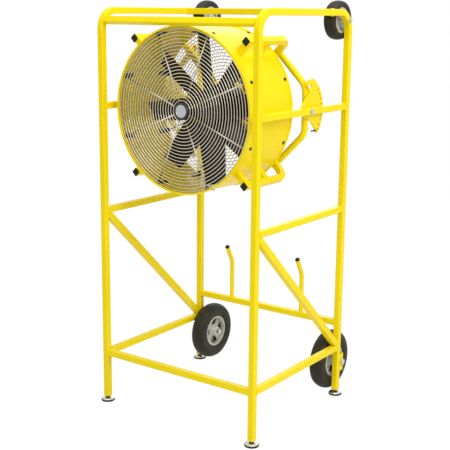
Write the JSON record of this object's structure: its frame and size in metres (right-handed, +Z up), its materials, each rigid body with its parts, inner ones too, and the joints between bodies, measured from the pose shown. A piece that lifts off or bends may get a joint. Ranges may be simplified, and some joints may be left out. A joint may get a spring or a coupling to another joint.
{
  "type": "air circulator fan",
  "caption": "Drum fan behind wire guards that tilts between index plates in a tall tube cart with wheels at its foot and head, cord posts and levelling feet.",
  "frame": {"origin": "on the floor, under the centre of the whole object's bounding box", "axes": "+Z up, the fan blows towards -Y, +X to the right seen from the front"},
  "size_m": [0.786, 0.8154, 1.6464],
  "materials": {
    "yellow_paint": "gloss powder coat",
    "chrome_wire": "bright plated wire",
    "badge_plate": "satin plate with a dark rim",
    "black_plastic": "matt",
    "zinc_steel": "zinc plated",
    "black_steel": "black oxide",
    "motor_black": "satin enamel",
    "core_steel": "bare laminations",
    "blade_black": "semi-gloss moulded",
    "foot_steel": "plated cup on a black rubber sole",
    "black_tyre": "matt rubber",
    "wheel_hub": "grey moulded"
  },
  "bodies": {
    "cart": {"left_side_loop": "yellow_paint", "right_side_loop": "yellow_paint", "front_top_tube": "yellow_paint", "rear_top_tube": "yellow_paint", "front_bottom_rail": "yellow_paint", "rear_cord_rail": "yellow_paint", "left_bottom_rail": "yellow_paint", "left_mid_rail": "yellow_paint", "left_pivot_rail": "yellow_paint", "right_bottom_rail": "yellow_paint", "right_mid_rail": "yellow_paint", "right_pivot_rail": "yellow_paint", "left_diagonal_brace": "yellow_paint", "right_diagonal_brace": "yellow_paint", "left_cord_post": "yellow_paint", "right_cord_post": "yellow_paint", "axle_blocks": "yellow_paint", "cord_post_caps": "black_plastic", "wheel_axles": "zinc_steel", "lock_nuts": "zinc_steel", "pivot_bolts": "zinc_steel", "leg_inserts": "zinc_steel"},
    "fan": {"drum_shell": "yellow_paint", "upper_right_corner_tube": "yellow_paint", "upper_left_corner_tube": "yellow_paint", "lower_left_corner_tube": "yellow_paint", "lower_right_corner_tube": "yellow_paint", "corner_struts": "yellow_paint", "left_yoke": "yellow_paint", "right_yoke": "yellow_paint", "left_index_plate": "yellow_paint", "right_index_plate": "yellow_paint", "motor_band": "yellow_paint", "corner_tube_plugs": "black_plastic", "front_guard": "chrome_wire", "rear_guard": "chrome_wire", "guard_cap": "badge_plate", "guard_clips": "black_steel", "guard_screws": "black_steel", "motor_shell": "motor_black", "motor_front_bell": "motor_black", "motor_rear_cover": "motor_black", "motor_stator": "core_steel", "terminal_box": "motor_black"},
    "impeller": {"impeller": "blade_black", "motor_rotor": "core_steel"},
    "lock_pin": {"tilt_lock_pin": "zinc_steel"},
    "lower_left_wheel": {"lower_left_tyre": "black_tyre", "lower_left_hub": "wheel_hub"},
    "lower_right_wheel": {"lower_right_tyre": "black_tyre", "lower_right_hub": "wheel_hub"},
    "upper_left_wheel": {"upper_left_tyre": "black_tyre", "upper_left_hub": "wheel_hub"},
    "upper_right_wheel": {"upper_right_tyre": "black_tyre", "upper_right_hub": "wheel_hub"},
    "front_left_foot_body": {"front_left_foot": "foot_steel"},
    "front_right_foot_body": {"front_right_foot": "foot_steel"},
    "rear_left_foot_body": {"rear_left_foot": "foot_steel"},
    "rear_right_foot_body": {"rear_right_foot": "foot_steel"}
  },
  "joints": [
    {"name": "fan_tilt", "type": "hinge", "parent": "cart", "child": "fan", "pos_m": [0, -0.0302, 1.233], "axis": [1, 0, 0], "range_deg": [-40, 40]},
    {"name": "impeller_spin", "type": "hinge", "parent": "fan", "child": "impeller", "pos_m": [0, -0.1687, 1.233], "axis": [0, -1, 0], "continuous": true},
    {"name": "lock_pin_push", "type": "slide", "parent": "cart", "child": "lock_pin", "axis": [1, 0, 0], "range_m": [0, 0.01]},
    {"name": "lower_left_wheel_spin", "type": "hinge", "parent": "cart", "child": "lower_left_wheel", "pos_m": [-0.315, 0.2807, 0.142], "axis": [1, 0, 0], "continuous": true},
    {"name": "lower_right_wheel_spin", "type": "hinge", "parent": "cart", "child": "lower_right_wheel", "pos_m": [0.315, 0.2807, 0.142], "axis": [1, 0, 0], "continuous": true},
    {"name": "upper_left_wheel_spin", "type": "hinge", "parent": "cart", "child": "upper_left_wheel", "pos_m": [-0.323, 0.24264, 1.57015], "axis": [1, 0, 0], "continuous": true},
    {"name": "upper_right_wheel_spin", "type": "hinge", "parent": "cart", "child": "upper_right_wheel", "pos_m": [0.323, 0.24264, 1.57015], "axis": [1, 0, 0], "continuous": true},
    {"name": "front_left_foot_screw", "type": "slide", "parent": "cart", "child": "front_left_foot_body", "axis": [0, 0, -1], "range_m": [0, 0.012]},
    {"name": "front_right_foot_screw", "type": "slide", "parent": "cart", "child": "front_right_foot_body", "axis": [0, 0, -1], "range_m": [0, 0.012]},
    {"name": "rear_left_foot_screw", "type": "slide", "parent": "cart", "child": "rear_left_foot_body", "axis": [0, 0, -1], "range_m": [0, 0.012]},
    {"name": "rear_right_foot_screw", "type": "slide", "parent": "cart", "child": "rear_right_foot_body", "axis": [0, 0, -1], "range_m": [0, 0.012]}
  ]
}
